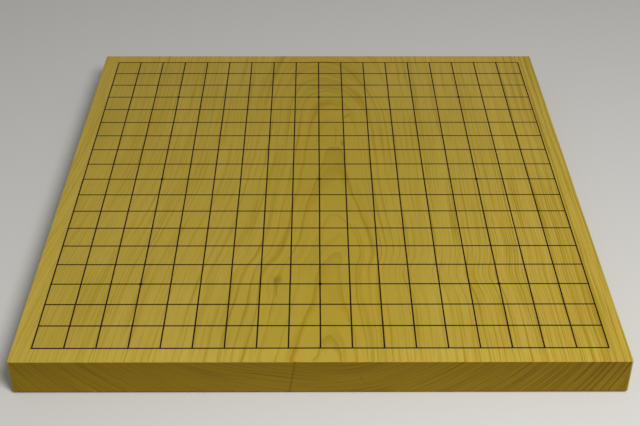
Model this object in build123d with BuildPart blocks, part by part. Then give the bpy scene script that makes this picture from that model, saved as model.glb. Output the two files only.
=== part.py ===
"""A one-sun table go board, in millimetres: a plain slab of softwood with a lacquered playing grid.

The slab lies on its underside at Z = 0, centred on the Z axis. Its grain runs along Y, from the near
player to the far one, so the two end-grain faces are at -Y and +Y. The grid is black lacquer that stands
proud of the planed top: first the file lines, which run with the grain, then the rank lines, which ride
over them, and last the star points, which ride over both.
"""

from math import atan2, degrees
import os

from build123d import *

# Playing grid
lines_each_way = 19
file_pitch = 22.0  # from one file line to the next, across the board
rank_pitch = 23.7  # from one rank line to the next, along the board
star_line = 4  # the star points lie on this line, counted from each edge, and on the middle one

# Slab
side_margin = 14.1  # bare wood outside the first and last file line
end_margin = 13.95  # bare wood outside the first and last rank line
slab_thickness = 29.0
top_bevel = 0.4
corner_bevel = 1.0
foot_bevel = 2.0

# Lacquer
line_width = 1.2  # where the line meets the wood
line_shoulder = 0.2  # how far in each sloping side of a line runs
line_height = 0.15
crossing_cover = 0.07  # lacquer that a rank line keeps above the file line it crosses
star_diameter = 3.0
star_cover = 0.08  # lacquer that a star point keeps above the rank line
star_bevel = 0.1

# Sizes that follow from those above
steps = lines_each_way - 1
grid_width = steps * file_pitch
grid_length = steps * rank_pitch
slab_width = grid_width + 2 * side_margin
slab_length = grid_length + 2 * end_margin
rank_height = line_height + crossing_cover
star_height = rank_height + star_cover

FILE_LETTERS = "abcdefghjklmnopqrst"  # a player's names for the files: the letter i is left out


def along(pitch, step):
    """Where the line with this number, from 0 up, lies from the middle of the board."""
    return (step - steps / 2) * pitch


def lacquer_bead(start, run, length, height):
    """One straight lacquer line: a low bead with sloping sides, from start along run."""
    slope = degrees(atan2(height, line_shoulder))
    across = Vector(*run).cross(Vector(0, 0, 1))
    with BuildPart() as bead:
        with BuildSketch(Plane(origin=start, x_dir=-across, z_dir=run)):
            Trapezoid(line_width, height, slope, align=(Align.CENTER, Align.MIN))
        extrude(amount=length)
    return bead.part


def file_bead():
    """A file line on the middle of the board. Its ends are flush with the outer rank lines."""
    start = (0, -(grid_length + line_width) / 2, slab_thickness)
    return lacquer_bead(start, (0, 1, 0), grid_length + line_width, line_height)


def rank_bead():
    """A rank line on the middle of the board, saddled over all the file lines that it crosses."""
    start = (-(grid_width + line_width) / 2, 0, slab_thickness)
    with BuildPart() as bead:
        add(lacquer_bead(start, (1, 0, 0), grid_width + line_width, rank_height))
        with GridLocations(file_pitch, rank_pitch, lines_each_way, 1):
            add(file_bead(), mode=Mode.SUBTRACT)
    return bead.part


def star_dot():
    """A star point at the middle of the board, seated on the wood and over the two lines that cross there."""
    with BuildPart() as dot:
        with BuildSketch(Plane.XY.offset(slab_thickness)):
            Circle(star_diameter / 2)
        extrude(amount=star_height)
        chamfer(dot.faces().sort_by(Axis.Z)[-1].edges(), star_bevel)
        add(file_bead(), mode=Mode.SUBTRACT)
        add(rank_bead(), mode=Mode.SUBTRACT)
    return dot.part


def write(part, name):
    """Writes one sub-part to its own STEP file under its own name."""
    part.label = name
    export_step(part, os.path.join("parts", name + ".step"))


os.makedirs("parts", exist_ok=True)

# The slab: one plank, planed square, with every edge eased and the foot bevelled more, for the fingertips
with BuildPart() as slab:
    with BuildSketch():
        Rectangle(slab_width, slab_length)
    extrude(amount=slab_thickness)
    chamfer(slab.faces().sort_by(Axis.Z)[0].edges(), foot_bevel)
    chamfer(slab.edges().filter_by(Axis.Z), corner_bevel)
    chamfer(slab.faces().sort_by(Axis.Z)[-1].edges(), top_bevel)
write(slab.part, "board_slab")

# The file lines, a to t from the left
first_coat = file_bead()
for step, letter in enumerate(FILE_LETTERS):
    place = Location((along(file_pitch, step), 0, 0))
    write(first_coat.moved(place), f"file_line_{letter}")

# The rank lines, 1 to 19 from the near edge
second_coat = rank_bead()
for step in range(lines_each_way):
    place = Location((0, along(rank_pitch, step), 0))
    write(second_coat.moved(place), f"rank_line_{step + 1:02d}")

# The nine star points, named by the lines that cross under them
dot = star_dot()
star_steps = (star_line - 1, steps // 2, steps - star_line + 1)
for file_step in star_steps:
    for rank_step in star_steps:
        place = Location((along(file_pitch, file_step), along(rank_pitch, rank_step), 0))
        write(dot.moved(place), f"star_point_{FILE_LETTERS[file_step]}{rank_step + 1}")

print(f"slab {slab_width:.1f} x {slab_length:.1f} x {slab_thickness:.1f} mm")
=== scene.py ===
"""A one-sun go board on a plain floor: a plank of yellow softwood with a grid of raised lacquer."""

from math import cos, pi, radians, sin
from random import Random

import bmesh
import bpy
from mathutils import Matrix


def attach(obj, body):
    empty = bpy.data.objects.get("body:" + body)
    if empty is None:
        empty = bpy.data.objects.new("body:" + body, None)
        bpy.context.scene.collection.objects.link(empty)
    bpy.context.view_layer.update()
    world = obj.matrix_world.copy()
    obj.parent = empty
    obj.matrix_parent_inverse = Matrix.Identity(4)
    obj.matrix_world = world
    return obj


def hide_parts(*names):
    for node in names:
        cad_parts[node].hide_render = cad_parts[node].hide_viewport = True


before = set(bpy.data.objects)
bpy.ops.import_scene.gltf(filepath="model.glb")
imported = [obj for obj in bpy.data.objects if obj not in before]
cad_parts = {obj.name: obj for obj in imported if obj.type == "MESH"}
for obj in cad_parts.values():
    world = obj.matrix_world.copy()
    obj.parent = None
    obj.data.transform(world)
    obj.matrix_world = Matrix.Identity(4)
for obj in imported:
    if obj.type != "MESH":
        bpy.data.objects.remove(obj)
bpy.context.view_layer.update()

# The slab. One flat-sawn plank of yellow softwood, with the trunk's pith above the playing face: the rings
# sag through the end grain like stacked bowls, and on the face they close in hoops toward the far player.
# It is planed all round, its edges are eased with a small bevel, and it is rubbed with wax.
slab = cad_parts["board_slab"]
slab_thickness = 29.0
MM = 0.001


class Field:
    """A number, vector or colour that varies over a piece. Arithmetic on it adds Math nodes."""

    def __init__(self, tree, socket=None):
        self.tree = tree
        self.socket = socket

    def make(self, kind, settings=None, sockets=None, output=0):
        """Adds any other shader node: its settings first, then its sockets' values or links."""
        node = self.tree.nodes.new("ShaderNode" + kind)
        for name, setting in (settings or {}).items():
            if name == "points":
                corner, points = setting
                line = node.mapping.curves[0].points
                for point in points[2:]:
                    line.new(*point)
                for mark, point in zip(line, points):
                    mark.location = point
                    mark.handle_type = corner
                node.mapping.extend = "EXTRAPOLATED"
                node.mapping.update()
            else:
                setattr(node, name, setting)
        for name, value in (sockets or {}).items():
            if isinstance(value, Field):
                self.tree.links.new(value.socket, node.inputs[name])
            else:
                node.inputs[name].default_value = value
        return Field(self.tree, node.outputs[output] if node.outputs else None)

    def maths(self, operation, *others):
        return self.make("Math", {"operation": operation}, dict(enumerate((self, *others))))

    def __add__(self, other):
        return self.maths("ADD", other)

    def __mul__(self, other):
        return self.maths("MULTIPLY", other)

    def __sub__(self, other):
        return self.maths("SUBTRACT", other)

    def __rsub__(self, other):
        return self * -1 + other

    def __truediv__(self, other):
        return self.maths("DIVIDE", other)

    def __pow__(self, other):
        return self.maths("POWER", other)

    __radd__ = __add__
    __rmul__ = __mul__

    def bell(self, middle, width):
        """1 at the middle, falling to nothing over about twice the width on both sides."""
        away = (self - middle) / width
        return (away * away * -1).maths("EXPONENT")

    def rise(self, low, high):
        """0 up to low, 1 from high on, and smooth between. It falls where low is above high."""
        sockets = {"Value": self, "From Min": low, "From Max": high}
        return self.make("MapRange", {"interpolation_type": "SMOOTHSTEP"}, sockets)

    def follow(self, stations, corner="AUTO"):
        """The height of a line drawn through (place, height) stations, bent smoothly or at corners."""
        first, last = stations[0][0], stations[-1][0]
        low = min(height for _, height in stations)
        span = max(height for _, height in stations) - low
        points = [((place - first) / (last - first), (height - low) / span) for place, height in stations]
        share = (self - first) / (last - first)
        return self.make("FloatCurve", {"points": (corner, points)}, {"Value": share}) * span + low

    def tint(self, plain, full):
        """The plain colour where this is 0, the full colour where it is 1."""
        return self.make("Mix", {"data_type": "RGBA"}, {0: self, 6: plain, 7: full}, output=2)


def paint(red, green, blue):
    """A colour given as it looks on a screen, 0 to 255, as the light values that a shader takes."""
    parts = [part / 255 for part in (red, green, blue)]
    light = [((part + 0.055) / 1.055) ** 2.4 if part > 0.04 else part / 12.92 for part in parts]
    return (*light, 1.0)


def start_material(name):
    """A new empty material, and the field from which its nodes are made."""
    material = bpy.data.materials.new(name)
    material.use_nodes = True
    material.node_tree.nodes.clear()
    return material, Field(material.node_tree)


softwood, wood = start_material("waxed_yellow_softwood")
place = wood.make("TexCoord", output="Object")
in_mm = wood.make("VectorMath", {"operation": "SCALE"}, {0: place, "Scale": 1 / MM})
x, y, z = (wood.make("SeparateXYZ", sockets={0: in_mm}, output=axis) for axis in "XYZ")
depth = slab_thickness - z


def grain_noise(across, along, deep):
    """Noise from 0 to 1, stretched to these lengths in millimetres across, along and into the plank."""
    size = wood.make("VectorMath", {"operation": "DIVIDE"}, {0: in_mm, 1: (across, along, deep)})
    return wood.make("TexNoise", sockets={"Vector": size, "Scale": 1.0, "Detail": 2.0})


# where the pith runs, from the near end to the far end: its height over the face, and how far it lies to the
# right of the middle
pith_height = [(-227, 125.3), (-202, 125.8), (-165, 126.8), (-107, 127.4), (-80, 128.2), (-52, 129.2)]
pith_height += [(-10, 130.5), (51, 131.4), (105, 132.4), (132, 133.6), (155, 135.3), (181, 137.5)]
pith_height += [(213, 140), (227, 141.4)]
pith_side = [(-227, 4), (-200, 5), (-140, 6), (-125, 7), (-110, 12), (-90, 15), (-50, 12.5), (0, 11.5)]
pith_side += [(30, 13), (60, 13), (105, 12), (125, 9), (155, 7), (181, 5), (227, 5)]
pith_middle = 8
pith_reach = 110

# away from the pith the grain leans with the trunk's twist on the left, and on the right it runs straight
# but for one ripple, which dies out short of the edge
plain_height = 130.5
left_lean = [(-227, -31), (-140, -22), (-100, -15), (-50, -5), (0, 3), (50, 8), (100, 11), (227, 14)]
ripple_y = -131
outward = (x - pith_middle).maths("ABSOLUTE").rise(0, pith_reach)
lean = y.follow(left_lean) * x.rise(20, -20)
drift = y.follow(pith_side)
drift += (lean - drift) * outward
drift -= y.bell(ripple_y, 20) * x.rise(45, 65) * x.rise(190, 120) * 5
above = y.follow(pith_height)
above += (plain_height - above) * outward + depth

# the figure parts round a pin knot, wavers a little, and packs tighter toward the plank's sides
knot_x, knot_y = -31.5, -137.5
drift += (x - knot_x) * x.bell(knot_x, 12) * y.bell(knot_y, 20) * 0.5
drift += (grain_noise(45, 70, 45) - 0.5) * 3
across = x - drift
steep = across / 200
across *= steep * steep * steep * steep * steep * steep * 0.05 + 1
radius = (across * across + above * above).maths("SQRT")
radius += (grain_noise(9, 24, 9) - 0.5) * 0.5

# the trunk's rings: pale early wood that darkens slowly outward, then stops short at the next ring
ring_edges = [125.8, 127.5, 129.2, 131.45, 133.6, 135.3, 137.5, 140.2, 142.3]
extra_rings = 0.15
ring = radius.follow([(edge, count) for count, edge in enumerate(ring_edges)], "VECTOR")
wild = wood.make("TexNoise", {"noise_dimensions": "1D"}, {"W": radius / 5, "Scale": 1.0})
ring += (wild - 0.5) * 1.2 * radius.rise(142, 152)
ring += (radius - ring_edges[-1]).maths("MAXIMUM", 0) * x.rise(-50, 50) * extra_rings
count = ring.maths("FLOOR")
luck = wood.make("TexWhiteNoise", {"noise_dimensions": "1D"}, {"W": count})
outer = radius.rise(134, 143)
late = (ring - count) ** (7 - outer * 4) * (1.1 - outer * (luck * 0.4 + 0.55))
flow = wood.make("CombineXYZ", sockets={"X": radius / 0.9, "Y": y / 110, "Z": x / 60})
hair = wood.make("TexNoise", sockets={"Vector": flow, "Scale": 1.0, "Detail": 3.0}) - 0.5

# some rings near the right side are darker, each given by its radius, its half width and how dark it is
dark_rings = radius.bell(203.9, 0.7) * y.rise(-50, -80) * 0.5
right_rings = [(188.5, 0.8, 0.5), (198.5, 0.9, 0.5), (223.6, 0.8, 1), (231.2, 0.9, 1), (238.5, 1, 1)]
right_rings += [(243.3, 0.9, 1), (248, 1.1, 1), (254.5, 1.2, 0.8), (260, 0.8, 1)]
for ring_radius, ring_width, darkness in right_rings:
    dark_rings += radius.bell(ring_radius, ring_width) * darkness
dark_rings *= x.rise(100, 175) * 0.5 + x.rise(100, 120) * 0.5

# small marks on the face: the knot and the dark streak that it draws toward the near end, and two stains
trunk_middle = 6
fan = above / (above - depth)
knot_away = x - (fan * (knot_x - trunk_middle) + trunk_middle)
knot = (knot_away.bell(0, 2.8) - knot_away.bell(0, 1) * 0.4) * y.bell(knot_y, 4.2)
streak = knot_away.bell(-0.5, 0.7) * y.rise(-160, -154) * y.rise(-138, -144)
stain = x.bell(20.5, 1.4) * y.bell(58, 5) + (x - y * 0.6).bell(-38.5, 1.5) * y.bell(106, 4)
stain += (x - y * 0.02).bell(13.4, 0.6) * y.rise(52, 60) * y.rise(92, 80) * 0.5

# small marks in the near end: a ray of resin and a speck
facing = wood.make("NewGeometry", output="Normal")
endways = wood.make("SeparateXYZ", sockets={0: facing}, output="Y").maths("ABSOLUTE")
sideways = wood.make("SeparateXYZ", sockets={0: facing}, output="X").maths("ABSOLUTE")
end_grain = endways.rise(0.6, 0.9)
near_end = y.rise(-200, -226)
ray = (x + depth * 0.145).bell(-17.4, 0.7) * near_end
speck = x.bell(28, 0.6) * z.bell(14, 1.2) * near_end

# the face is palest outside the grid and toward its right side, and deepest along the middle, with warm
# streaks that run with the grain. The paler right side and the stronger, warmer figure at the near right are
# partly painted light, as if a lamp on that side lit them more
fibre = grain_noise(0.35, 14, 0.35)
cloud = grain_noise(40, 130, 30)
middle_strip = x.bell(5, 60)
# the near right, where the figure is painted stronger and warmer, partly as painted light
warm_side_and_painted_light = x.rise(60, 130) * y.rise(60, -60)
margin = x.maths("ABSOLUTE").rise(198, 200).maths("MAXIMUM", y.maths("ABSOLUTE").rise(213, 215))
flow = wood.make("CombineXYZ", sockets={"X": radius / 1.4, "Y": y / 140, "Z": x / 80 + 7})
warmth = wood.make("TexNoise", sockets={"Vector": flow, "Scale": 1.0, "Detail": 1.0}).rise(0.42, 0.75)
pale = (cloud - 0.35).rise(0, 0.3).tint(paint(189, 164, 67), paint(183, 159, 61))
pale = (middle_strip * 0.8).tint(pale, paint(177, 152, 45))
# painted light: the right side is painted paler, as if lit more from that side
pale = (x.rise(90, 190) * 0.7).tint(pale, paint(197, 169, 71))
pale = (margin * (1 - middle_strip * 0.5)).tint(pale, paint(198, 172, 72))
pale = (warmth * (warm_side_and_painted_light * 0.5 + 0.5)).tint(pale, paint(192, 157, 53))
late_share = late * (warm_side_and_painted_light * 0.7 + 0.95) + hair * (warm_side_and_painted_light * 1.4 + 3.2) + dark_rings * 0.65
tone = late_share.tint(pale, paint(162, 135, 30))
tone = (fibre - 0.5).rise(0, 0.4).tint(tone, paint(168, 142, 44))
tone = (knot * 0.55 + streak * 0.35 + stain * 0.4).tint(tone, paint(104, 66, 2))

# the end grain drinks more wax, so it is darker and duller, and part of that darkness is painted shade. It
# grows paler toward the foot. The upright corners between carry a painted highlight, a pale line along each
# bevel
# painted shade in part: the end-grain colours below are darker than the wax alone would make them
end_foot = depth.rise(0, 26)
end_pale = end_foot.tint(paint(143, 116, 22), paint(154, 127, 28))
end_late = end_foot.tint(paint(108, 79, 12), paint(119, 90, 16))
end_tone = (late_share + (grain_noise(0.8, 0.8, 0.8) - 0.5) * 0.3).tint(end_pale, end_late)
end_tone = (ray * 0.4 + speck * 0.5).tint(end_tone, paint(84, 56, 12))
# painted highlight: a pale line on the upright corner bevels, where light would catch them
painted_edge_highlight = sideways.rise(0.4, 0.6) * sideways.rise(0.95, 0.8)
colour = end_grain.tint(tone, end_tone)
colour = (painted_edge_highlight * 0.5).tint(colour, paint(205, 188, 120))
relief = late * 0.5 + hair * 0.3 + fibre * 0.5
bump = wood.make("Bump", sockets={"Strength": 0.35, "Distance": 0.06 * MM, "Height": relief})
shine = 0.44 + end_grain * 0.2 + (fibre - 0.5) * 0.12 - late * 0.05
shader = wood.make(
    "BsdfPrincipled",
    sockets={"Base Color": colour, "Roughness": shine, "Normal": bump, "Specular IOR Level": 0.14},
)
wood.make("OutputMaterial", sockets={"Surface": shader})
slab.data.materials.clear()
slab.data.materials.append(softwood)

# The file lines. Black lacquer, thick as syrup, is drawn along the grain with the edge of a blade. It sets
# as a low round bead that a fingertip can feel.
file_letters = "abcdefghjklmnopqrst"
file_pitch = 22.0
rank_pitch = 23.7
half_steps = 9
file_width = 1.15
line_height = 0.15
half_width = half_steps * file_pitch
half_length = half_steps * rank_pitch

lacquer, film = start_material("raised_black_lacquer")
place = film.make("TexCoord", output="Object")
mottle = film.make("TexNoise", sockets={"Vector": place, "Scale": 900.0, "Detail": 3.0})
cloud = film.make("TexNoise", sockets={"Vector": place, "Scale": 60.0, "Detail": 2.0})
tone = cloud.rise(0.35, 0.65).tint(paint(27, 15, 3), paint(36, 22, 5))
bump = film.make("Bump", sockets={"Strength": 0.3, "Distance": 0.02 * MM, "Height": mottle})
shine = 0.34 + (cloud - 0.5) * 0.15 + (mottle - 0.5) * 0.1
shader = film.make(
    "BsdfPrincipled",
    sockets={"Base Color": tone, "Roughness": shine, "Normal": bump, "Specular IOR Level": 0.18},
)
film.make("OutputMaterial", sockets={"Surface": shader})


def lay(name, node, rows):
    """A closed lacquer piece through rows of points, each a hoop or bead section, that stands for a node."""
    mesh = bpy.data.meshes.new(name)
    form = bmesh.new()
    rings = [[form.verts.new([part * MM for part in point]) for point in row] for row in rows]
    for near, far in zip(rings, rings[1:]):
        for step in range(len(near)):
            form.faces.new((near[step - 1], near[step], far[step], far[step - 1]))
    form.faces.new(rings[0])
    form.faces.new(rings[-1])
    bmesh.ops.recalc_face_normals(form, faces=form.faces)
    form.to_mesh(mesh)
    form.free()
    mesh.shade_smooth()
    mesh.materials.append(lacquer)
    piece = bpy.data.objects.new(name, mesh)
    bpy.context.collection.objects.link(piece)
    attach(piece, "root")
    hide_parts(node)


def bead_section(width, height):
    """Points (across, up) round a bead: half an oval over a flat foot."""
    arc = [pi * step / 8 for step in range(9)]
    return [(cos(turn) * width / 2, abs(sin(turn)) ** 0.7 * height) for turn in arc]


def blade_line(seed, line_width, half_run, crossings, over):
    """Sections along one drawn line: (place, sideways, width, height), steady but not perfect."""
    tip_length = 0.6
    climb = 1.0
    section_step = 4.0
    hand = Random(seed)
    shift = [hand.uniform(0, 2 * pi) for _ in range(4)]
    ends = [half_run + line_width / 2 - inset for inset in (0.0, 0.08, 0.25, tip_length)]
    last_step = int(half_run // section_step)
    places = {step * section_step for step in range(int(-half_run // section_step) + 1, last_step + 1)}
    places |= {-end for end in ends} | set(ends)
    climbing = (-climb, -0.6, -0.3, 0, 0.3, 0.6, climb)
    places |= {crossing + offset for crossing in crossings for offset in climbing}
    sections = []
    for spot in sorted(places):
        if abs(spot) > ends[0]:
            continue
        tip = min(1.0, (ends[0] - abs(spot)) / tip_length)
        round_off = 0.55 + 0.45 * (1 - (1 - tip) ** 2) ** 0.5
        near_cross = max((1 - (abs(spot - crossing) / climb) ** 2 for crossing in crossings), default=0)
        near_cross = max(0.0, near_cross)
        wobble = 0.03 * sin(spot / 31 + shift[0]) + 0.015 * sin(spot / 11 + shift[1])
        width = line_width * (0.97 + 0.02 * sin(spot / 17 + shift[2]) + 0.03 * near_cross) * round_off
        height = (line_height * (0.97 + 0.03 * sin(spot / 7 + shift[3])) + over * near_cross) * round_off
        sections.append((spot, wobble, width, height))
    return sections


for step, letter in enumerate(file_letters):
    middle = (step - half_steps) * file_pitch
    rows = []
    for spot, wobble, width, height in blade_line(f"file {letter}", file_width, half_length, (), 0):
        bead = bead_section(width, height)
        rows.append([(middle + wobble + side, spot, slab_thickness + up) for side, up in bead])
    lay(f"file_bead_{letter}", f"file_line_{letter}", rows)

# The rank lines. The same lacquer is drawn across the grain once the file lines have set, so each rank line
# climbs over every file line that it meets.
rank_width = 1.3
crossing_cover = 0.07
crossings = [(step - half_steps) * file_pitch for step in range(2 * half_steps + 1)]
for step in range(2 * half_steps + 1):
    middle = (step - half_steps) * rank_pitch
    rows = []
    sections = blade_line(f"rank {step}", rank_width, half_width, crossings, crossing_cover)
    for spot, wobble, width, height in sections:
        bead = bead_section(width, height)
        rows.append([(spot, middle + wobble + side, slab_thickness + up) for side, up in bead])
    lay(f"rank_bead_{step + 1:02d}", f"rank_line_{step + 1:02d}", rows)

# The star points. A drop of the same lacquer is set on nine of the crossings with a round stick, after both
# lines have dried, and settles as a low dome.
star_diameter = 3.0
star_height = 0.3
star_steps = (3, 9, 15)
star_corners = 32
dome = [(1.0, 0.0), (0.99, 0.35), (0.93, 0.66), (0.78, 0.86), (0.5, 0.97), (0.2, 1.0)]
for file_step in star_steps:
    for rank_step in star_steps:
        name = f"{file_letters[file_step]}{rank_step + 1}"
        hand = Random(name)
        lean = hand.uniform(0, 2 * pi)
        middle_x = (file_step - half_steps) * file_pitch
        middle_y = (rank_step - half_steps) * rank_pitch
        rows = []
        for reach, up in dome:
            row = []
            for turn in [2 * pi * part / star_corners for part in range(star_corners)]:
                out = star_diameter / 2 * reach * (0.985 + 0.015 * sin(2 * turn + lean))
                spot = (middle_x + out * cos(turn), middle_y + out * sin(turn))
                row.append((*spot, slab_thickness + star_height * up))
            rows.append(row)
        lay(f"star_drop_{name}", f"star_point_{name}", rows)

# The floor. A wide pale sheet, plain all over, that takes the board's soft shadow. The light that bounces
# off it is a little dimmer than it looks, so that the end grain above it stays deep.
floor_reach = 6.0
floor_corners = [(-1, -1), (1, -1), (1, 1), (-1, 1)]
floor_mesh = bpy.data.meshes.new("floor")
floor_points = [(floor_reach * across, floor_reach * along, 0) for across, along in floor_corners]
floor_mesh.from_pydata(floor_points, [], [(0, 1, 2, 3)])
floor = bpy.data.objects.new("floor", floor_mesh)
bpy.context.collection.objects.link(floor)
paper, sheet = start_material("pale_floor")
seen = sheet.make("LightPath", output="Is Camera Ray")
seen = seen.maths("MAXIMUM", sheet.make("LightPath", output="Is Glossy Ray"))
seen = seen.maths("MAXIMUM", sheet.make("LightPath", output="Is Transmission Ray"))
tone = seen.tint(paint(150, 147, 140), paint(216, 214, 210))
shader = sheet.make(
    "BsdfPrincipled",
    sockets={"Base Color": tone, "Roughness": 0.9, "Specular IOR Level": 0.1},
)
sheet.make("OutputMaterial", sockets={"Surface": shader})
floor_mesh.materials.append(paper)

# The light. One soft round lamp stands in front of the board and to its right, aimed at its middle. The
# room is dim, and twice as bright overhead as at the horizon, but the view sees it as an even pale wall.
lamp_data = bpy.data.lights.new("overhead", "AREA")
lamp_data.shape = "DISK"
lamp_data.size = 0.6
lamp_data.energy = 15.7
lamp = bpy.data.objects.new("overhead", lamp_data)
lamp.location = (0.45, -0.85, 1.1)
lamp.rotation_euler = (-lamp.location).to_track_quat("-Z", "Y").to_euler()
bpy.context.collection.objects.link(lamp)
horizon_light = (0.146, 0.146, 0.146, 1)
overhead_light = (0.29, 0.29, 0.29, 1)
room = bpy.data.worlds.new("room")
bpy.context.scene.world = room
room.use_nodes = True
room.node_tree.nodes.clear()
air = Field(room.node_tree)
looking = air.make("TexCoord", output="Generated")
height = air.make("SeparateXYZ", sockets={0: looking}, output="Z")
dim = height.rise(0.1, 0.9).tint(horizon_light, overhead_light)
seen = air.make("LightPath", output="Is Camera Ray")
wall = seen.tint(dim, paint(226, 225, 222))
background = air.make("Background", sockets={"Color": wall, "Strength": 1.0})
air.make("OutputWorld", sockets={"Surface": background})

# The camera. It looks down across the near edge from a step behind the near player's seat, almost square to
# the board, with a moderate long lens.
camera_data = bpy.data.cameras.new("view")
camera_data.sensor_width = 36.0
camera_data.lens = 64.03
camera_data.clip_end = 50.0
camera = bpy.data.objects.new("view", camera_data)
camera.location = (-3.8 * MM, -803.1 * MM, (519.5 + slab_thickness) * MM)
camera.rotation_euler = (radians(55.394), radians(-0.104), radians(-0.245))
bpy.context.collection.objects.link(camera)
bpy.context.scene.camera = camera
bpy.context.scene.view_settings.view_transform = "Standard"
